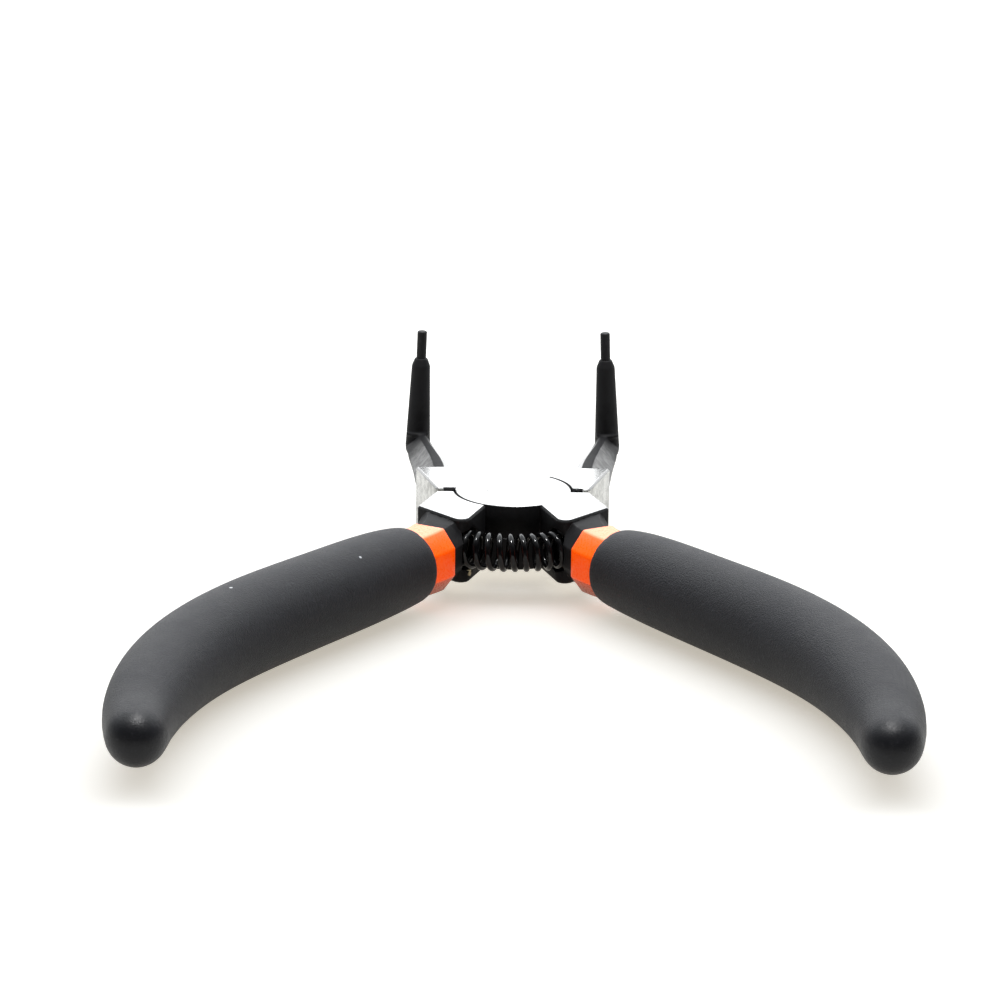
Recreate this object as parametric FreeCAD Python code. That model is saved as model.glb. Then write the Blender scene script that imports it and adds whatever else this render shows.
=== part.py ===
import FreeCAD, Part
import math
import os
from FreeCAD import Vector

# Mini circlip pliers with tips bent up at a right angle, stored with the handles sprung open.
# +Z is up, +Y points from the handles to the jaws, lengths are in mm.
# Shapes are built about the pivot axis and the lap plane, then moved into the frame.
# side is +1 for the half whose handle is on +X and whose jaw is on -X.

# Place of the pivot and the lap plane in the frame
pivot_y = 25.88
lap_z = 5.78

# Head: two forged halves lapped on a round disc
head_half = 4.2
disc_r = 7.4
disc_gap = 0.28
lap_gap = 0.1
slot_half = 0.65
notch_apex_x = 9.9
jaw_corner = (12.75, 10.05)
jaw_root = (7.9, 10.25)
jaw_throat = (4.3, 5.8)
arm_corner = (12.2, -7.35)
arm_lobe = (6.05, -14.2)
arm_crotch = (3.4, -6.5)
lobe_round = 1.3
edge_break = 0.25

# Rivet that holds the halves together, heads ground flush
rivet_r = 2.4
rivet_head_r = 3.3
rivet_head_h = 1.3
rivet_play = 0.04

# Jaw bar from the head to the bend: y, outer x, inner x, top z, bottom z and
# the height of its widest line on the outer side
jaw_sections = (
    (9.8, 12.6, 7.95, 3.85, -3.85, 1.7),
    (15.0, 13.05, 8.5, 3.8, -3.2, 1.4),
    (21.0, 13.6, 9.8, 3.6, -2.0, 1.2),
    (26.5, 14.25, 10.95, 3.4, -1.0, 1.3),
    (29.4, 14.45, 11.3, 3.1, -0.62, 1.4),
)
jaw_outer_cut = 0.5
jaw_inner_cut = 0.22
jaw_inner_drop = 0.9
jaw_side_band = 0.5

# Upright shank above the bend
shank_x = 12.9
shank_y = 29.4
shank_z = 1.25
shank_base_r = 1.7
shank_top_r = 1.25
shank_h = 11.45
shank_lean = 2.0
shoulder_h = 1.05
shoulder_r = 0.85

# Pin on the top of the shank, its thinner stem pressed into the shank
pin_r = 0.65
pin_out = 3.75
pin_stem_r = 0.4
pin_stem = 3.2
pin_break = 0.12

# Handle centreline, from inside the head to the end of the grip
handle_path = (
    (8.6, -8.0),
    (10.45, -15.2),
    (12.4, -18.1),
    (16.85, -23.0),
    (23.0, -31.0),
    (30.4, -41.0),
    (36.6, -52.0),
    (39.85, -62.0),
    (41.1, -71.0),
    (41.05, -79.2),
)

# Octagonal tang along the path: width, height, chamfer width, chamfer drop
tang_sections = (
    (7.0, 7.7, 1.0, 1.8),
    (6.6, 7.2, 1.7, 2.3),
    (6.3, 6.9, 1.65, 2.2),
    (6.1, 6.6, 1.6, 2.0),
    (5.8, 6.0, 1.6, 1.8),
    (5.6, 5.6, 1.6, 1.6),
    (5.3, 5.3, 1.5, 1.5),
    (4.9, 4.9, 1.4, 1.4),
    (4.3, 4.3, 1.2, 1.2),
)

# Inner dipped sleeve and outer grip
sleeve_wall = 0.5
sleeve_tail = 1.2
grip_radii = (4.65, 5.42, 5.65, 5.78, 5.62, 5.2, 4.5, 3.7)
grip_front_round = 1.2

# Coil spring in an arc between the arms, its ends in blind pockets
spring_wire_r = 0.37
spring_coil_r = 2.1
spring_arc_r = 12.0
spring_mid_y = -13.3
spring_half_angle = 39.0
spring_turns = 12
spring_points_per_turn = 12
pocket_r = 2.8
pocket_angle = 33.0
pocket_floor_angle = 42.5
pocket_reach = 9.0


def plan(point, side, z=0.0):
    return Vector(point[0] * side, point[1], z)


def closed_wire(points):
    return Part.makePolygon(list(points) + [points[0]])


def prism(points, z_low, z_high):
    face = Part.Face(closed_wire([Vector(p.x, p.y, z_low) for p in points]))
    return face.extrude(Vector(0, 0, z_high - z_low))


def disc(radius, z_low, z_high):
    return Part.makeCylinder(radius, z_high - z_low, Vector(0, 0, z_low))


def upright_edges_at(shape, spot, reach=0.2):
    found = []
    for edge in shape.Edges:
        ends = [v.Point for v in edge.Vertexes]
        if len(ends) == 2 and all(math.hypot(p.x - spot.x, p.y - spot.y) < reach for p in ends):
            found.append(edge)
    return found


def jaw_block(side):
    corners = (
        (-notch_apex_x, slot_half),
        (-jaw_corner[0], jaw_corner[1]),
        (-jaw_root[0], jaw_root[1]),
        (-jaw_throat[0], jaw_throat[1]),
        (-jaw_throat[0], slot_half),
    )
    block = prism([plan(c, side) for c in corners], -head_half, head_half)
    return block


def arm_block(side):
    corners = (
        (notch_apex_x, -slot_half),
        arm_corner,
        arm_lobe,
        arm_crotch,
        (arm_crotch[0], -slot_half),
    )
    block = prism([plan(c, side) for c in corners], -head_half, head_half)
    return block.makeFillet(lobe_round, upright_edges_at(block, plan(arm_lobe, side)))


def break_edges(block):
    flat = []
    for edge in block.Edges:
        heights = [abs(abs(v.Point.z) - head_half) for v in edge.Vertexes]
        if max(heights) < 1e-6:
            flat.append(edge)
    return block.makeChamfer(edge_break, flat)


def head(side, lap):
    # lap +1 keeps the disc above the lap plane, -1 keeps it below
    if lap > 0:
        own = disc(disc_r, lap_gap / 2, head_half)
        other = disc(disc_r + disc_gap, -head_half - 1, lap_gap / 2)
    else:
        own = disc(disc_r, -head_half, -lap_gap / 2)
        other = disc(disc_r + disc_gap, -lap_gap / 2, head_half + 1)
    blocks = break_edges(jaw_block(side)).fuse(break_edges(arm_block(side)))
    return blocks.cut(other).fuse(own)


def jaw_section(row, side):
    y, out, inn, top, low, widest = row
    out_cut = jaw_outer_cut * (out - inn)
    inn_cut = jaw_inner_cut * (out - inn)
    profile = (
        (out, widest + jaw_side_band / 2),
        (out - out_cut, top),
        (inn + inn_cut, top),
        (inn, top - jaw_inner_drop),
        (inn, low + jaw_inner_drop),
        (inn + inn_cut, low),
        (out - out_cut, low),
        (out, widest - jaw_side_band / 2),
    )
    return closed_wire([Vector(-x * side, y, z) for x, z in profile])


def shank_axis(side):
    lean = math.radians(shank_lean)
    return Vector(side * math.sin(lean), 0, math.cos(lean))


def shank_point(side, height):
    return Vector(-shank_x * side, shank_y, shank_z) + shank_axis(side) * height


def jaw(side):
    axis = shank_axis(side)
    bar = Part.makeLoft([jaw_section(row, side) for row in jaw_sections], True)
    bend = Part.makeSphere(shank_base_r, shank_point(side, 0))
    shank = Part.makeCone(shank_base_r, shank_top_r, shank_h, shank_point(side, 0), axis)
    shoulder = Part.makeCone(shank_top_r, shoulder_r, shoulder_h, shank_point(side, shank_h), axis)
    return bar.fuse([bend, shank, shoulder])


def tip_pin(side):
    seat = shank_h + shoulder_h
    axis = shank_axis(side)
    pin = Part.makeCylinder(pin_r, pin_out, shank_point(side, seat), axis)
    top = shank_point(side, seat + pin_out)
    rim = [e for e in pin.Edges if (e.CenterOfMass - top).Length < pin_break]
    stem = Part.makeCylinder(pin_stem_r, pin_stem, shank_point(side, seat - pin_stem), axis)
    return pin.makeChamfer(pin_break, rim).fuse(stem)


def path_curve(side):
    curve = Part.BSplineCurve()
    curve.interpolate([plan(p, side) for p in handle_path])
    return curve


def path_frames(side):
    # centre, heading and sideways direction at each station of the handle
    curve = path_curve(side)
    frames = []
    for p in handle_path:
        centre = plan(p, side)
        heading = curve.tangent(curve.parameter(centre))[0].normalize()
        frames.append((centre, heading, heading.cross(Vector(0, 0, 1))))
    return frames


def octagon(frame, width, height, cut_w, cut_d):
    centre, heading, across = frame
    half_w = width / 2
    half_h = height / 2
    profile = (
        (half_w, half_h - cut_d),
        (half_w - cut_w, half_h),
        (cut_w - half_w, half_h),
        (-half_w, half_h - cut_d),
        (-half_w, cut_d - half_h),
        (cut_w - half_w, -half_h),
        (half_w - cut_w, -half_h),
        (half_w, cut_d - half_h),
    )
    return closed_wire([centre + across * a + Vector(0, 0, b) for a, b in profile])


def octagon_loft(frames, rows, wall):
    wires = [octagon(f, r[0] + 2 * wall, r[1] + 2 * wall, r[2], r[3]) for f, r in zip(frames, rows)]
    return Part.makeLoft(wires, True)


def tang(side):
    return octagon_loft(path_frames(side), tang_sections, 0.0)


def sleeve_solid(side):
    frames = path_frames(side)[1:]
    rows = tang_sections[1:]
    body = octagon_loft(frames, rows, sleeve_wall)
    centre, heading, across = frames[len(rows) - 1]
    last = octagon((centre, heading, across), rows[-1][0] + 2 * sleeve_wall,
                   rows[-1][1] + 2 * sleeve_wall, rows[-1][2], rows[-1][3])
    tail = Part.Face(last).extrude(heading * sleeve_tail)
    return body.fuse(tail).removeSplitter()


def grip_solid(side):
    frames = path_frames(side)[2:]
    wires = []
    for (centre, heading, across), radius in zip(frames, grip_radii):
        wires.append(Part.Wire(Part.makeCircle(radius, centre, heading)))
    body = Part.makeLoft(wires, True)
    front = frames[0][0]
    rim = [e for e in body.Edges if (e.CenterOfMass - front).Length < 0.2]
    body = body.makeFillet(grip_front_round, rim)
    return body.fuse(Part.makeSphere(grip_radii[-1], frames[-1][0]))


def arc_point(angle):
    turn = math.radians(angle)
    centre_y = spring_mid_y + spring_arc_r
    return Vector(spring_arc_r * math.sin(turn), centre_y - spring_arc_r * math.cos(turn), 0)


def pocket(side):
    turn = math.radians(pocket_angle)
    floor = arc_point(pocket_floor_angle * side)
    inward = Vector(-side * math.cos(turn), -math.sin(turn), 0)
    return Part.makeCylinder(pocket_r, pocket_reach, floor, inward)


def rivet_solid(play):
    shaft = disc(rivet_r + play, -head_half, head_half)
    top = disc(rivet_head_r + play, head_half - rivet_head_h - play, head_half)
    low = disc(rivet_head_r + play, -head_half, rivet_head_h + play - head_half)
    return shaft.fuse([top, low])


def forged_half(side, lap):
    body = head(side, lap).fuse([jaw(side), tang(side)])
    play = rivet_play if lap > 0 else 0.0
    return body.cut([rivet_solid(play), pocket(side), tip_pin(side)])


def coil_spring():
    steps = spring_turns * spring_points_per_turn
    points = []
    for i in range(steps + 1):
        angle = spring_half_angle * (2.0 * i / steps - 1.0)
        phase = 2 * math.pi * i / spring_points_per_turn
        turn = math.radians(angle)
        outward = Vector(math.sin(turn), -math.cos(turn), 0)
        swing = outward * (spring_coil_r * math.cos(phase))
        points.append(arc_point(angle) + swing - Vector(0, 0, spring_coil_r * math.sin(phase)))
    curve = Part.BSplineCurve()
    curve.interpolate(points)
    start = curve.tangent(curve.FirstParameter)[0]
    ring = Part.Wire(Part.makeCircle(spring_wire_r, points[0], start))
    return Part.Wire(curve.toShape()).makePipeShell([ring], True, True)


def build():
    sleeves = {side: sleeve_solid(side) for side in (-1, 1)}
    return {
        "upper_half": forged_half(1, 1),
        "lower_half": forged_half(-1, -1),
        "pivot_rivet": rivet_solid(0.0),
        "coil_spring": coil_spring(),
        "left_tip_pin": tip_pin(1),
        "right_tip_pin": tip_pin(-1),
        "left_sleeve": sleeves[-1].cut(tang(-1)),
        "right_sleeve": sleeves[1].cut(tang(1)),
        "left_grip": grip_solid(-1).cut(sleeves[-1]),
        "right_grip": grip_solid(1).cut(sleeves[1]),
    }


os.makedirs("parts", exist_ok=True)
for name, shape in build().items():
    shape.translate(Vector(0, pivot_y, lap_z))
    box = shape.BoundBox
    print(name, shape.isValid(), len(shape.Solids), round(shape.Volume, 2),
          [round(v, 2) for v in (box.XMin, box.XMax, box.YMin, box.YMax, box.ZMin, box.ZMax)])
    shape.exportStep("parts/" + name + ".step")
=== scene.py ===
import math
import bmesh
import bpy
from mathutils import Matrix, Quaternion, Vector


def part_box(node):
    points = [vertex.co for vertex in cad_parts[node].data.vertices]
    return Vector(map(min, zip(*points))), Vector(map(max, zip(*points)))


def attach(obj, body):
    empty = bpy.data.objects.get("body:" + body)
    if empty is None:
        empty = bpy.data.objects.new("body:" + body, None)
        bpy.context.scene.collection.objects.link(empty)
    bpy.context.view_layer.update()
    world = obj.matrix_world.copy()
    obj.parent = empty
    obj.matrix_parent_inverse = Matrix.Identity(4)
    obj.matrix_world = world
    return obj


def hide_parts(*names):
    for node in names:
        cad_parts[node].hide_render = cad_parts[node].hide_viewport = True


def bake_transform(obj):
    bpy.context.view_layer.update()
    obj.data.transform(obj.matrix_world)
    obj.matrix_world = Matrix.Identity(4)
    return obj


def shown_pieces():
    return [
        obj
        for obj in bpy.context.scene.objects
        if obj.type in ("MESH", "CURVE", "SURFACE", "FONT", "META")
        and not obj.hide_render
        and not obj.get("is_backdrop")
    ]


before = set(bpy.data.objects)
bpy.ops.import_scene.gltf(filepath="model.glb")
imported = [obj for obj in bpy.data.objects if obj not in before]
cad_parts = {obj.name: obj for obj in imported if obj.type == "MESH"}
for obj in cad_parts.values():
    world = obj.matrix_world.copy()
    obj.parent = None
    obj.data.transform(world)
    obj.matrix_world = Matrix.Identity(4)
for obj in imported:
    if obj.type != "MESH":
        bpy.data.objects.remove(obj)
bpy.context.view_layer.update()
mm = 0.001
perMetre = 1.0 / mm
lowerBody, upperBody = "lower_lever", "upper_lever"
rivetLow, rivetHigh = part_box("pivot_rivet")
pivot = Vector((0.0, (rivetLow.y + rivetHigh.y) / 2, 0.0))
headTop = rivetHigh.z
lapHeight = (headTop + rivetLow.z) / 2     # the plane where the two halves meet
print("frame loaded, pivot at y", round(pivot.y, 5))

viewSet = {
    "elevation": 17.0,     # degrees above the table
    "turn": 0.33,          # degrees off the long axis
    "roll": 0.6,           # degrees
    "distance": 480 * mm,  # from the head
    "aimRight": -1.80 * mm,
    "aimUp": -1.21 * mm,
    "lens": 134.7,
    "sensor": 36.0,
    "clip": (0.01, 20.0),
}


def makeCamera(s):
    rise, turn = math.radians(s["elevation"]), math.radians(s["turn"])
    look = Vector((math.sin(turn) * math.cos(rise), math.cos(turn) * math.cos(rise), -math.sin(rise)))
    right = Vector((math.cos(turn), -math.sin(turn), 0.0))
    up = right.cross(look)
    head = Vector((0.0, pivot.y, headTop))
    spot = head - look * s["distance"]
    aim = head + right * s["aimRight"] + up * s["aimUp"]
    lens = bpy.data.cameras.new("camera")
    lens.lens, lens.sensor_width = s["lens"], s["sensor"]
    lens.clip_start, lens.clip_end = s["clip"]
    camera = bpy.data.objects.new("camera", lens)
    camera.location = spot
    camera.rotation_mode = "QUATERNION"
    roll = Quaternion((0.0, 0.0, 1.0), math.radians(s["roll"]))
    camera.rotation_quaternion = (aim - spot).to_track_quat("-Z", "Y") @ roll
    bpy.context.scene.collection.objects.link(camera)
    bpy.context.scene.camera = camera


lightSet = {
    "softbox": {"place": (0.0, 0.42, 0.55), "size": (1.6, 0.8), "power": 6.6, "aim": (0.0, 0.02, 0.0),
                "colour": (0.94, 0.97, 1.0)},
    "topStrip": {"place": (0.0, 0.0, 0.55), "size": (0.10, 0.05), "power": 3.8, "aim": (0.0, 0.01, 0.0),
                 "colour": (1.0, 1.0, 1.0)},
    "farPanel": {"place": (0.0, 0.80, 0.26), "size": (1.4, 0.46), "power": 3.6, "aim": (0.0, 0.02, 0.01),
                 "colour": (1.0, 1.0, 1.0)},
}


def makeLight(name, s):
    lamp = bpy.data.lights.new(name, "AREA")
    lamp.shape = "RECTANGLE"
    lamp.size, lamp.size_y = s["size"]
    lamp.energy = s["power"]
    lamp.color = s["colour"]
    made = bpy.data.objects.new(name, lamp)
    made.location = s["place"]
    made.rotation_euler = (Vector(s["aim"]) - Vector(s["place"])).to_track_quat("-Z", "Y").to_euler()
    bpy.context.scene.collection.objects.link(made)
    return made


def spareTable(light, table):
    # the light only draws glints on the tool, the table is left out of it
    spared = bpy.data.collections.new("leftOut")
    spared.objects.link(table)
    spared.collection_objects[0].light_linking.link_state = "EXCLUDE"
    light.light_linking.receiver_collection = spared


class Wire:
    # a socket of a shader tree that can be reckoned with
    def __init__(self, tree, socket=None):
        self.tree, self.socket = tree, socket

    def node(self, kind, settings=None, inputs=None, output=0):
        made = self.tree.nodes.new("ShaderNode" + kind)
        for name, value in (settings or {}).items():
            setattr(made, name, value)
        for name, value in (inputs or {}).items():
            if isinstance(value, Wire):
                self.tree.links.new(value.socket, made.inputs[name])
            else:
                made.inputs[name].default_value = value
        return Wire(self.tree, made.outputs[output])

    def maths(self, operation, a, b=0.0):
        return self.node("Math", {"operation": operation}, {0: a, 1: b})

    def __add__(self, other):
        return self.maths("ADD", self, other)

    def __sub__(self, other):
        return self.maths("SUBTRACT", self, other)

    def __rsub__(self, other):
        return self.maths("SUBTRACT", other, self)

    def __mul__(self, other):
        return self.maths("MULTIPLY", self, other)

    __radd__, __rmul__ = __add__, __mul__

    def abs(self):
        return self.maths("ABSOLUTE", self)

    def largest(self, other):
        return self.maths("MAXIMUM", self, other)

    def step(self, low, high):
        settings = {"interpolation_type": "SMOOTHSTEP"}
        return self.node("MapRange", settings, {"Value": self, "From Min": low, "From Max": high})

    def mix(self, off, on):
        shades = [(*s, 1.0) if isinstance(s, tuple) else s for s in (off, on)]
        return self.node("Mix", {"data_type": "RGBA"}, {0: self, 6: shades[0], 7: shades[1]}, 2)


class Finish(Wire):
    # one material: a Principled shader, its object coordinates and the patterns laid on them
    def __init__(self, name, **fixed):
        self.material = bpy.data.materials.new(name)
        self.material.use_nodes = True
        super().__init__(self.material.node_tree)
        self.tree.nodes.clear()
        self.shader = self.tree.nodes.new("ShaderNodeBsdfPrincipled")
        out = self.tree.nodes.new("ShaderNodeOutputMaterial")
        self.tree.links.new(self.shader.outputs[0], out.inputs[0])
        for name, value in fixed.items():
            self.shader.inputs[name.replace("_", " ")].default_value = value
        self.coords = self.node("TexCoord", output=3)
        self.facing = self.node("TexCoord", output=1)

    def feed(self, **links):
        for name, value in links.items():
            self.tree.links.new(value.socket, self.shader.inputs[name.replace("_", " ")])

    def split(self, vector):
        return [self.node("SeparateXYZ", inputs={0: vector}, output=i) for i in range(3)]

    def noise(self, size, detail=3.0, rough=0.55, stretch=(1.0, 1.0, 1.0)):
        place = self.node("Mapping", inputs={"Vector": self.coords, "Scale": stretch})
        inputs = {"Vector": place, "Scale": 1.0 / size, "Detail": detail, "Roughness": rough}
        return self.node("TexNoise", inputs=inputs)

    def patches(self, pattern):
        return self.noise(*pattern["noise"]).step(*pattern["shows"])

    def fromAxis(self, x, y):
        flat = self.node("CombineXYZ", inputs={0: x, 1: y})
        return self.node("VectorMath", {"operation": "LENGTH"}, {0: flat}, 1)

    def rounded(self, radius):
        return self.node("Bevel", {"samples": 4}, {"Radius": radius})

    def near(self, place, radius):
        # one within the radius of a place on the tool, both in mm from the pivot and the lap plane
        spot = Vector((place[0] * mm, pivot.y + place[1] * mm, lapHeight + place[2] * mm))
        away = self.node("VectorMath", {"operation": "DISTANCE"}, {0: self.coords, 1: spot}, 1)
        return 1.0 - away.step(radius * 0.5 * mm, radius * mm)

    def bump(self, height, depth, strength, normal=None):
        inputs = {"Height": height, "Distance": depth, "Strength": strength}
        if normal:
            inputs["Normal"] = normal
        return self.node("Bump", inputs=inputs)

    def centred(self):
        # position on the tool in mm from the pivot and the lap plane
        x, y, z = self.split(self.coords)
        return x * perMetre, (y - pivot.y) * perMetre, (z - lapHeight) * perMetre


forgedSet = {
    "specular": 0.13,
    # where the ground faces lie, in mm and by their tilt
    "topFrom": (3.86, 3.98),
    "topTilt": (0.80, 0.90),
    "topUntil": (10.6, 11.0),
    "wallFrom": (8.9, 9.05),
    "wallRear": (-7.36, -7.22),
    "wallFront": (9.94, 10.06),
    "wallTilt": (0.3, 0.5),
    "frontNotch": (-0.2, 0.0),
    "frontNotchLoss": 0.45,
    "stray": 0.16,                   # how far a mask's edge wanders
    # where the jaw bars are filed bare
    "facetStart": (10.0, 10.3),
    "facetFade": (20.0, 26.5),
    "facetFadeStray": 6.0,
    "facetTilt": (0.86, 0.97),
    "facetTop": (3.6, 4.4),
    "innerSide": (0.0, -3.0),
    "shankDust": (6.0, 9.0),
    "lapGapShadeLine": (7.32, 7.74, 0.06),   # painted shade in the lap gap: a dark line along the lap, from and to, and its soft edge
    "lapGapShadeSide": (4.0, 16.0),          # kept to the two open quarters of the lap
    "chip": ((-5.38, -12.23, -3.0), 0.62),     # bare spot low on one arm, and its radius
    "chipShows": (0.2, 0.5),
    "ground": (0.55, 0.55, 0.545),
    "groundDull": (0.27, 0.27, 0.265),
    "black": (0.0035, 0.0035, 0.004),
    "blackDusty": (0.0105, 0.0105, 0.0115),
    "worn": (0.16, 0.16, 0.16),
    "wallBright": (0.50, 0.50, 0.48),
    "wallDull": (0.30, 0.30, 0.285),
    "facet": (0.13, 0.13, 0.129),
    "facetDark": (0.045, 0.045, 0.045),
    # painted reflection: the inward-facing bare facets are painted lighter as if lit by a side light
    "innerFacetPaintedReflection": (0.55, 0.55, 0.55),
    "chipColour": (0.55, 0.47, 0.30),
    "strayNoise": (0.7 * mm,),
    "grainNoise": (0.22 * mm, 3.0, 0.6),
    "blotches": {"noise": (1.1 * mm, 4.0, 0.6), "shows": (0.36, 0.66)},
    "smudges": {"noise": (2.6 * mm, 5.0, 0.62, (1.0, 1.7, 1.0)), "shows": (0.58, 0.72)},
    "scratches": {"noise": (0.5 * mm, 3.0, 0.6, (0.16, 1.6, 1.0)), "shows": (0.60, 0.72)},
    "rubs": {"noise": (0.9 * mm, 4.0, 0.65), "shows": (0.44, 0.66)},
    "edgeRadius": 0.16 * mm,
    "edgeShows": (0.012, 0.08),
    "blackRough": 0.56,
    "groundRough": 0.24,
    "bumpDepth": 0.012 * mm,
}


def groundMasks(f, s, x, y, z, tilt, stray):
    # one on the notch walls, and one on all that is ground bright
    side = (y + stray).step(*s["wallRear"]) * (1.0 - (y + stray).step(*s["wallFront"]))
    face = z.abs().step(*s["topFrom"]) * tilt.step(*s["topTilt"]) * (1.0 - y.step(*s["topUntil"]))
    notch = x.abs().step(*s["wallFrom"]) * side
    wall = notch * (1.0 - tilt.step(*s["wallTilt"]))
    notchEdge = notch * (1.0 - y.step(*s["frontNotch"]) * s["frontNotchLoss"])
    return wall, face.largest(wall).largest(notchEdge)


def wornEdges(f, s, rounded):
    flat = f.node("NewGeometry", output=1)
    edge = 1.0 - f.node("VectorMath", {"operation": "DOT_PRODUCT"}, {0: rounded, 1: flat}, 1)
    return edge.step(*s["edgeShows"]) * f.patches(s["rubs"])


def lapGapShade(f, s, x, y, z):
    low, high, soft = s["lapGapShadeLine"]
    rim = f.fromAxis(x, y)
    return rim.step(low - soft, low) * (1.0 - rim.step(high, high + soft)) * (x * y * z).step(*s["lapGapShadeSide"])


def forgedFinish(s):
    f = Finish("forgedSteel", Specular_IOR_Level=s["specular"])
    x, y, z = f.centred()
    stray = (f.noise(*s["strayNoise"]) - 0.5) * s["stray"]
    tilt = f.split(f.facing)[2].abs()
    wall, ground = groundMasks(f, s, x, y, z, tilt, stray)
    along = y.step(*s["facetStart"]) * (1.0 - (y + stray * s["facetFadeStray"]).step(*s["facetFade"]))
    facet = along * (1.0 - tilt.step(*s["facetTilt"])) * (1.0 - z.step(*s["facetTop"]))
    blotch, smudge, scratch = (f.patches(s[k]) for k in ("blotches", "smudges", "scratches"))
    grain = f.noise(*s["grainNoise"])
    rounded = f.rounded(s["edgeRadius"])
    worn = wornEdges(f, s, rounded)
    metal = (smudge * 0.9 + scratch * 0.4).mix(s["ground"], s["groundDull"])
    metal = wall.mix(metal, blotch.mix(s["wallBright"], s["wallDull"]))
    # painted shade along the gap where the two halves lap
    metal = (lapGapShade(f, s, x, y, z) * 0.93).mix(metal, s["black"])
    dust = grain * 0.5 + blotch * 0.5 + z.step(*s["shankDust"]) * 0.7
    dark = (worn * 0.6).mix(dust.mix(s["black"], s["blackDusty"]), s["worn"])
    # bare filed facets, their inward-facing ones painted lighter as a painted reflection
    inward = (x * f.split(f.facing)[0]).step(*s["innerSide"])
    bareFacetsWithPaintedReflection = (inward * 0.8).mix(blotch.mix(s["facetDark"], s["facet"]), s["innerFacetPaintedReflection"])
    chip = f.near(*s["chip"]) * blotch.step(*s["chipShows"])
    dark = chip.mix(facet.mix(dark, bareFacetsWithPaintedReflection), s["chipColour"])
    darkRough = s["blackRough"] - worn * 0.14 - facet * 0.18 + grain * 0.10
    groundRough = s["groundRough"] + smudge * 0.16 + grain * 0.06
    height = grain * (1.0 - ground * 0.8) + scratch * ground * 0.25
    f.feed(
        Base_Color=ground.mix(dark, metal),
        Metallic=ground.largest(facet * 0.9).largest(worn * 0.5),
        Roughness=ground.mix(darkRough, groundRough),
        Normal=f.bump(height, s["bumpDepth"], 0.7, rounded),
    )
    return f.material


rivetSet = {
    "bright": (0.55, 0.55, 0.545),
    "dull": (0.38, 0.38, 0.37),
    "rim": (3.05, 3.3),              # in mm from the axis
    "grindNoise": (0.4 * mm, 2.0, 0.5),
    "grindShows": (0.5, 0.75),
    "rough": 0.22,
    "bumpDepth": 0.01 * mm,
}


def rivetFinish(s):
    f = Finish("rivetSteel", Metallic=1.0)
    x, y, _ = f.centred()
    grind = f.noise(*s["grindNoise"])
    dull = f.fromAxis(x, y).step(*s["rim"]) * 0.5 + grind.step(*s["grindShows"]) * 0.35
    f.feed(
        Base_Color=dull.mix(s["bright"], s["dull"]),
        Roughness=s["rough"] + grind * 0.12 + dull * 0.1,
        Normal=f.bump(grind, s["bumpDepth"], 0.5),
    )
    return f.material


pinSet = {
    "specular": 0.2,
    "black": (0.0085, 0.0085, 0.009),
    "rubbed": (0.05, 0.05, 0.05),
    "rubs": {"noise": (0.5 * mm, 4.0, 0.65), "shows": (0.52, 0.7)},
    "rubbedFrom": (13.5, 17.6),      # mm above the lap plane
    "grainNoise": (0.18 * mm, 3.0, 0.6),
    "edgeRadius": 0.08 * mm,
    "rough": 0.50,
    "bumpDepth": 0.01 * mm,
}


def pinFinish(s):
    f = Finish("blackPin", Specular_IOR_Level=s["specular"])
    z = f.centred()[2]
    grain = f.noise(*s["grainNoise"])
    rubbed = f.patches(s["rubs"]) * z.step(*s["rubbedFrom"])
    f.feed(
        Base_Color=(rubbed * 0.5).mix(s["black"], s["rubbed"]),
        Metallic=rubbed * 0.6,
        Roughness=s["rough"] + grain * 0.16 - rubbed * 0.08,
        Normal=f.bump(grain, s["bumpDepth"], 0.8, f.rounded(s["edgeRadius"])),
    )
    return f.material


springSet = {
    "wire": 0.37 * mm,
    "coil": 2.1 * mm,
    "turns": 12,
    "arc": 12.0 * mm,
    "halfAngle": 39.0,        # degrees of the arc to each side
    "arcCentre": -1.3 * mm,   # from the pivot, toward the handles
    "stepsPerTurn": 28,
    "ringSides": 14,
    "sharpFrom": 40.0,
    "specular": 0.24,
    "black": (0.002, 0.002, 0.0022),
    "dusty": (0.0055, 0.0055, 0.006),
    "film": {"noise": (1.2 * mm, 3.0, 0.6), "shows": (0.42, 0.68)},
    "grainNoise": (0.25 * mm, 3.0, 0.6),
    "rough": 0.12,
    "bumpDepth": 0.006 * mm,
}


def springFinish(s):
    f = Finish("oiledWire", Specular_IOR_Level=s["specular"])
    grain = f.noise(*s["grainNoise"])
    film = f.patches(s["film"])
    f.feed(
        Base_Color=film.mix(s["black"], s["dusty"]),
        Roughness=s["rough"] + film * 0.08 + grain * 0.04,
        Normal=f.bump(grain, s["bumpDepth"], 0.6),
    )
    return f.material


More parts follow.
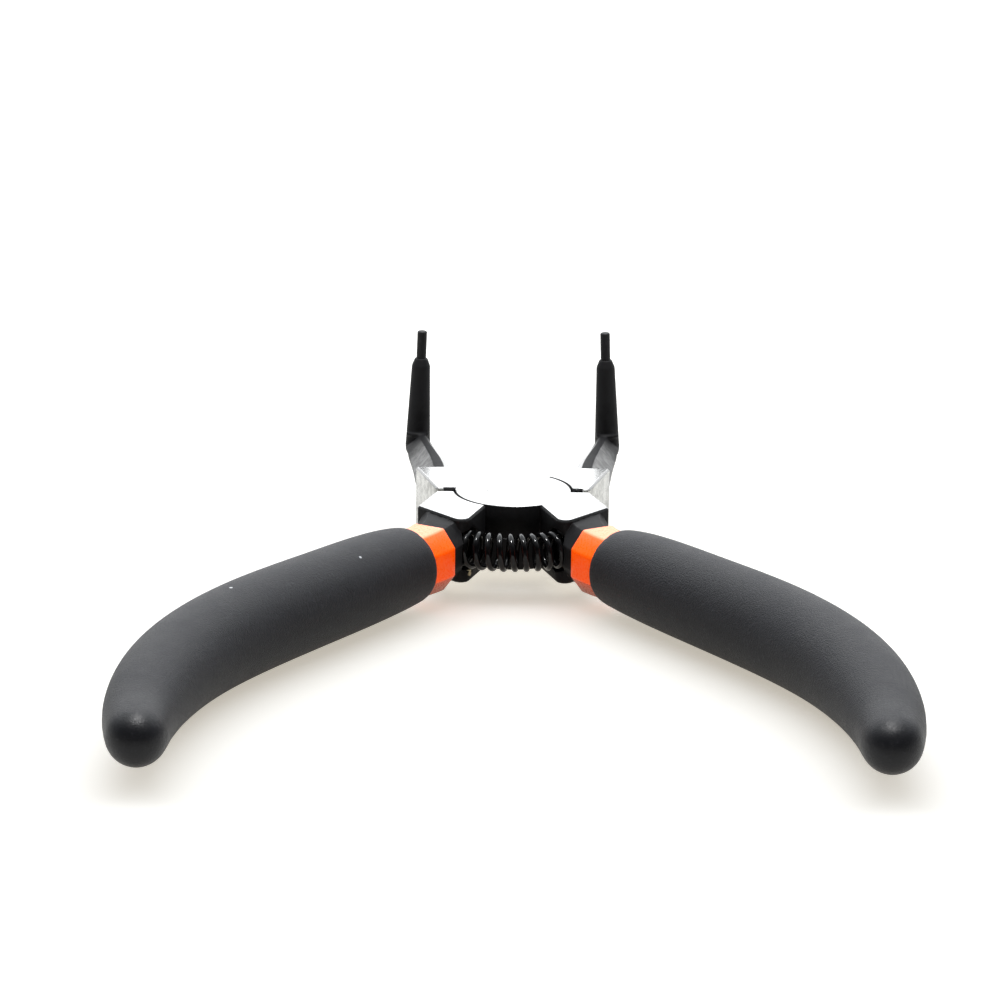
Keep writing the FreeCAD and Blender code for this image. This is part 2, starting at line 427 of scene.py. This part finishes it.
def makeSpring(s):
    half = math.radians(s["halfAngle"]) * s["arc"]
    bm = bmesh.new()
    ring = bmesh.ops.create_circle(bm, cap_ends=False, segments=s["ringSides"], radius=s["wire"],
                                   matrix=Matrix.Translation((-half, -s["coil"], 0.0)))
    loop = ring["verts"] + list({e for v in ring["verts"] for e in v.link_edges})
    steps = s["turns"] * s["stepsPerTurn"]
    bmesh.ops.spin(bm, geom=loop, cent=(0.0, 0.0, 0.0), axis=(1.0, 0.0, 0.0),
                   dvec=(2 * half / steps, 0.0, 0.0), angle=2 * math.pi * s["turns"], steps=steps,
                   use_merge=False, use_duplicate=False)
    bmesh.ops.holes_fill(bm, edges=[e for e in bm.edges if e.is_boundary], sides=s["ringSides"])
    for v in bm.verts:      # the straight coil is laid round the arc
        bend = Matrix.Rotation(v.co.x / s["arc"], 4, "Z")
        v.co = bend @ Vector((0.0, v.co.y - s["arc"], v.co.z))
    centre = Vector((0.0, pivot.y + s["arcCentre"], lapHeight))
    bmesh.ops.translate(bm, verts=bm.verts, vec=centre)
    bmesh.ops.recalc_face_normals(bm, faces=bm.faces)
    spring = meshObject("returnSpring", bm, springFinish(s), s["sharpFrom"])
    middle = Vector((0.0, -s["arc"], 0.0))
    ends = [centre + Matrix.Rotation(sign * half / s["arc"], 4, "Z") @ middle for sign in (-1, 1)]
    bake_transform(spring)
    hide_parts("coil_spring")


sleeveSet = {
    "orange": (0.95, 0.118, 0.003),
    "deep": (0.92, 0.102, 0.002),
    "glow": (0.34, 0.016, 0.0),        # painted glow: the collar gives off light though it is no lamp, keeping the dipped colour vivid in shade
    "glowUnder": (0.0, 0.0, 0.0),
    "under": (0.30, 0.05, 0.01),       # painted shade on the downward facets
    "pale": (1.0, 0.42, 0.26),         # painted highlight: paler orange on the upward facets
    "paintedHighlightFrom": (0.55, 0.95),
    "paintedShadeFrom": (-0.25, -0.7),
    "cloud": {"noise": (2.2 * mm, 3.0, 0.5), "shows": (0.4, 0.7)},
    "grainNoise": (0.3 * mm, 3.0, 0.6),
    "specular": 0.22,
    "rough": 0.22,
    "bumpDepth": 0.010 * mm,
    "edge": 0.32 * mm,
    "segments": 3,
    "sharpest": 24.0,
    "sharpFrom": 40.0,
}


def sleeveFinish(s):
    f = Finish("orangeDip", Specular_IOR_Level=s["specular"], Emission_Strength=1.0)
    grain = f.noise(*s["grainNoise"])
    tilt = f.split(f.facing)[2]
    # the second mask picks the downward facets, which get painted shade and no glow
    up, paintedShadeUnder = tilt.step(*s["paintedHighlightFrom"]), tilt.step(*s["paintedShadeFrom"])
    orange = f.patches(s["cloud"]).mix(s["orange"], s["deep"])
    f.feed(
        # the upward facets are painted paler as a painted highlight
        Base_Color=paintedShadeUnder.mix((up * 0.55).mix(orange, s["pale"]), s["under"]),
        # painted glow, given off by all but the downward facets
        Emission_Color=paintedShadeUnder.mix(s["glow"], s["glowUnder"]),
        Roughness=s["rough"] + grain * 0.12,
        Normal=f.bump(grain, s["bumpDepth"], 0.6),
    )
    return f.material


gripSet = {
    "black": (0.0050, 0.0052, 0.0070),
    "dusty": (0.0200, 0.0208, 0.0252),
    "lint": (0.45, 0.46, 0.48),
    "lintSpots": (((-33.09, -45.18, 5.72), 0.26), ((-18.52, -30.09, 4.69), 0.22)),
    "glossyPaintedDarkSpan": (-84.0, -70.0),   # the dipped end is glossier than the handled part, and its colour is painted darker there as a painted reflection of the dim room
    "grain": {"noise": (0.22 * mm, 3.0, 0.7), "shows": (0.3, 0.7)},
    "specks": {"noise": (0.45 * mm, 2.0, 0.5), "shows": (0.56, 0.74)},
    "cloud": {"noise": (4.0 * mm, 4.0, 0.6), "shows": (0.35, 0.7)},
    "specular": 0.27,
    "rough": 0.52,
    "bumpDepth": 0.050 * mm,
    "sharpFrom": 60.0,
    "voxel": 0.34 * mm,
    "smoothing": 14,
    "endLength": 11.0 * mm,        # the tip is softened in steps over this length
    "endSteps": 8,
    "endStep": 0.08,
    "endRounds": 7,
}


def gripFinish(s):
    f = Finish("blackGrip", Specular_IOR_Level=s["specular"])
    y = f.centred()[1]
    grain, speck, cloud = (f.patches(s[k]) for k in ("grain", "specks", "cloud"))
    glossyPaintedDarkEnd = 1.0 - y.step(*s["glossyPaintedDarkSpan"])
    # the end is pushed toward black: painted reflection of the dim room in front
    base = (cloud * 0.25 + grain * 0.4 + speck * 0.5 - glossyPaintedDarkEnd * 0.45).mix(s["black"], s["dusty"])
    for place, radius in s["lintSpots"]:
        base = f.near(place, radius).mix(base, s["lint"])
    f.feed(
        Base_Color=base,
        Roughness=s["rough"] + cloud * 0.06 + grain * 0.08 - glossyPaintedDarkEnd * 0.16,
        Normal=f.bump((grain + speck * 0.3) * (1.0 - glossyPaintedDarkEnd * 0.7), s["bumpDepth"], 0.75),
    )
    return f.material


weldWithin = 0.002 * mm
cutWithin = 0.0005 * mm
flatWithin = 0.6      # degrees, faces this nearly level are one face


def meshObject(name, bm, material, sharpFrom):
    mesh = bpy.data.meshes.new(name)
    bm.to_mesh(mesh)
    bm.free()
    mesh.materials.append(material)
    mesh.shade_smooth()
    mesh.set_sharp_from_angle(angle=math.radians(sharpFrom))
    made = bpy.data.objects.new(name, mesh)
    bpy.context.scene.collection.objects.link(made)
    return made


def nodeCopy(node):
    bm = bmesh.new()
    bm.from_mesh(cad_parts[node].data)
    bmesh.ops.remove_doubles(bm, verts=bm.verts, dist=weldWithin)
    return bm


def standFor(made, body, node):
    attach(made, body)
    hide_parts(node)


def cutOff(bm, at, away):
    # drops what lies past the plane and closes the cut
    parts = bm.verts[:] + bm.edges[:] + bm.faces[:]
    cut = bmesh.ops.bisect_plane(bm, geom=parts, dist=cutWithin, plane_co=at, plane_no=away, clear_outer=True)
    rim = [e for e in cut["geom_cut"] if isinstance(e, bmesh.types.BMEdge)]
    bmesh.ops.holes_fill(bm, edges=rim, sides=0)


def roundEdges(bm, width, segments, sharpest):
    bmesh.ops.dissolve_limit(bm, angle_limit=math.radians(flatWithin), verts=bm.verts, edges=bm.edges)
    sharp = [e for e in bm.edges if e.is_manifold and e.calc_face_angle(0.0) > math.radians(sharpest)]
    bmesh.ops.bevel(bm, geom=sharp, offset=width, offset_type="OFFSET", affect="EDGES", segments=segments,
                    profile=0.5, material=-1, clamp_overlap=True)


def soften(bm, verts, rounds):
    for _ in range(rounds):
        bmesh.ops.smooth_vert(bm, verts=verts, factor=0.5,
                              use_axis_x=True, use_axis_y=True, use_axis_z=True)


def remeshed(name, bm, voxel, rounds):
    # an even skin over the shape, its edges worn round
    mesh = bpy.data.meshes.new(name)
    bm.to_mesh(mesh)
    bm.free()
    rough = bpy.data.objects.new(name, mesh)
    bpy.context.scene.collection.objects.link(rough)
    skin = rough.modifiers.new("skin", "REMESH")
    skin.mode, skin.voxel_size, skin.use_smooth_shade = "VOXEL", voxel, True
    even = bpy.data.meshes.new_from_object(rough.evaluated_get(bpy.context.evaluated_depsgraph_get()))
    bpy.data.objects.remove(rough)
    out = bmesh.new()
    out.from_mesh(even)
    bpy.data.meshes.remove(even)
    soften(out, out.verts, rounds)
    return out


jawSet = {
    "from": 10.3 * mm,       # just ahead of the head block, from the pivot
    "tuck": 0.7 * mm,        # then pushed back into the block
    "tuckOver": 0.35 * mm,
    "voxel": 0.13 * mm,
    "smoothing": 3,
    "bend": (12.9 * mm, 29.4 * mm),   # shank foot, from the pivot
    "bendReach": 4.6 * mm,
    "bendTop": 1.6 * mm,     # above the lap plane
    "bendRounds": 26,
    "sharpFrom": 60.0,
    "lipHeight": 3.35 * mm,  # above the lap plane
    "lipRadius": 1.66 * mm,
    "lipWire": 0.24 * mm,
    "lipHalfAngle": 58.0,
    "lipSides": 12,
    "lipSteps": 20,
}


def addLip(bm, s, side):
    # low ridge pushed up where the bar is bent into the shank
    foot = Vector((side * s["bend"][0], pivot.y + s["bend"][1], lapHeight + s["lipHeight"]))
    start = math.radians(-90.0 - s["lipHalfAngle"])
    place = Matrix.Translation(foot) @ Matrix.Rotation(start, 4, "Z")
    outward = Matrix.Translation((s["lipRadius"], 0.0, 0.0))
    upright = Matrix.Rotation(math.radians(90.0), 4, "X")
    ring = bmesh.ops.create_circle(bm, cap_ends=True, segments=s["lipSides"], radius=s["lipWire"],
                                   matrix=place @ outward @ upright)
    faces = list({f for v in ring["verts"] for f in v.link_faces})
    edges = list({e for f in faces for e in f.edges})
    bmesh.ops.spin(bm, geom=ring["verts"] + edges + faces, cent=foot, axis=(0.0, 0.0, 1.0),
                   angle=math.radians(2 * s["lipHalfAngle"]), steps=s["lipSteps"],
                   use_merge=False, use_duplicate=False)


def makeJaw(name, node, body, side, s, material):
    bm = nodeCopy(node)
    start = pivot.y + s["from"]
    cutOff(bm, (0.0, start, 0.0), (0.0, -1.0, 0.0))
    addLip(bm, s, side)
    out = remeshed(name, bm, s["voxel"], s["smoothing"])
    foot = Vector((side * s["bend"][0], pivot.y + s["bend"][1], lapHeight))
    under = [v for v in out.verts if v.co.z < lapHeight + s["bendTop"]]
    heel = [v for v in under if (v.co - foot).length < s["bendReach"]]
    soften(out, heel, s["bendRounds"])
    for v in out.verts:
        v.co.y -= s["tuck"] * max(0.0, 1.0 - (v.co.y - start) / s["tuckOver"])
    made = meshObject(name, out, material, s["sharpFrom"])
    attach(made, body)


headSet = {
    "until": 10.27 * mm,     # from the pivot, where the jaw bar takes over
    "edge": 0.10 * mm,
    "segments": 2,
    "sharpest": 24.0,        # degrees, edges sharper than this are rounded
    "sharpFrom": 30.0,
    "level": 0.999,
}


def makeHead(name, node, body, s, material):
    bm = nodeCopy(node)
    cutOff(bm, (0.0, pivot.y + s["until"], 0.0), (0.0, 1.0, 0.0))
    roundEdges(bm, s["edge"], s["segments"], s["sharpest"])
    made = meshObject(name, bm, material, s["sharpFrom"])
    for face in made.data.polygons:
        face.use_smooth = abs(face.normal.z) < s["level"]    # the ground faces stay dead flat
    standFor(made, body, node)


def makeCollar(name, node, body, s, material):
    bm = nodeCopy(node)
    roundEdges(bm, s["edge"], s["segments"], s["sharpest"])
    standFor(meshObject(name, bm, material, s["sharpFrom"]), body, node)


def makeGrip(name, node, body, s, material):
    out = remeshed(name, nodeCopy(node), s["voxel"], s["smoothing"])
    tip = min(v.co.y for v in out.verts)
    for step in range(s["endSteps"]):
        reach = s["endLength"] * (1.0 - step * s["endStep"])
        soften(out, [v for v in out.verts if v.co.y < tip + reach], s["endRounds"])
    lost = min(v.co.y for v in out.verts) - tip
    for v in out.verts:      # what the softening took off the tip is drawn out again
        share = max(0.0, 1.0 - (v.co.y - lost - tip) / s["endLength"])
        v.co.y -= lost * share * share
    standFor(meshObject(name, out, material, s["sharpFrom"]), body, node)


tableSet = {
    "halfSize": 4.0,
    "light": (0.86, 0.87, 0.885),
    "pale": (0.84, 0.85, 0.865),
    "cloud": (0.5, 2.0, 0.5),
    "roughness": 0.9,
    "glow": (0.50, 0.465, 0.40, 1.0),   # lit from below, so shadows stay light and warm
}


def makeTable(s):
    bm = bmesh.new()
    low = min(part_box(grip)[0].z for grip in ("left_grip", "right_grip"))
    under = Matrix.Translation((0.0, 0.0, low))
    bmesh.ops.create_grid(bm, x_segments=1, y_segments=1, size=s["halfSize"], matrix=under)
    f = Finish("paleTable", Roughness=s["roughness"], Emission_Color=s["glow"], Emission_Strength=1.0)
    f.feed(Base_Color=f.noise(*s["cloud"]).mix(s["pale"], s["light"]))
    table = meshObject("table", bm, f.material, 40.0)
    table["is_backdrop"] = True
    return table


worldSet = {
    "back": (0.92, 0.96, 1.0),       # air behind and above the tool
    "front": (0.02, 0.021, 0.024),   # dim room in front of it
    "strength": 0.5,
    "fade": (-0.15, 0.85),
    "upShare": 0.9,                  # how much the fade climbs as well as recedes
}


def makeWorld(s):
    world = bpy.data.worlds.new("room")
    world.use_nodes = True
    bpy.context.scene.world = world
    world.node_tree.nodes.clear()
    w = Wire(world.node_tree)
    ray = w.node("TexCoord", output=0)
    y, z = (w.node("SeparateXYZ", inputs={0: ray}, output=i) for i in (1, 2))
    lit = (y + z * s["upShare"]).step(*s["fade"])
    shade = lit.mix(s["front"], s["back"])
    glow = w.node("Background", inputs={"Color": shade, "Strength": s["strength"]})
    out = world.node_tree.nodes.new("ShaderNodeOutputWorld")
    world.node_tree.links.new(glow.socket, out.inputs[0])


makeCamera(viewSet)
makeWorld(worldSet)
lights = {name: makeLight(name, values) for name, values in lightSet.items()}
spareTable(lights["topStrip"], makeTable(tableSet))
bpy.context.scene.view_settings.view_transform = "Standard"
print("camera, light and floor done")

forged = forgedFinish(forgedSet)
for half, jaw, body, side in (("upper", "left", upperBody, -1), ("lower", "right", lowerBody, 1)):
    makeHead(half + "Forging", half + "_half", body, headSet, forged)
    makeJaw(jaw + "Jaw", half + "_half", body, side, jawSet, forged)
print("forged halves done")

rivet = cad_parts["pivot_rivet"]
rivet.data.materials.clear()
rivet.data.materials.append(rivetFinish(rivetSet))
pinMaterial = pinFinish(pinSet)
for side in ("left", "right"):
    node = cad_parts[side + "_tip_pin"]
    node.data.materials.clear()
    node.data.materials.append(pinMaterial)
makeSpring(springSet)
print("rivet, pins and spring done")

orange = sleeveFinish(sleeveSet)
black = gripFinish(gripSet)
for side, body in (("left", lowerBody), ("right", upperBody)):
    makeCollar(side + "Collar", side + "_sleeve", body, sleeveSet, orange)
    makeGrip(side + "Grip", side + "_grip", body, gripSet, black)
print("collars and grips done")
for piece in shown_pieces():
    print("  ", piece.name, len(piece.data.vertices), "points", len(piece.data.polygons), "faces")
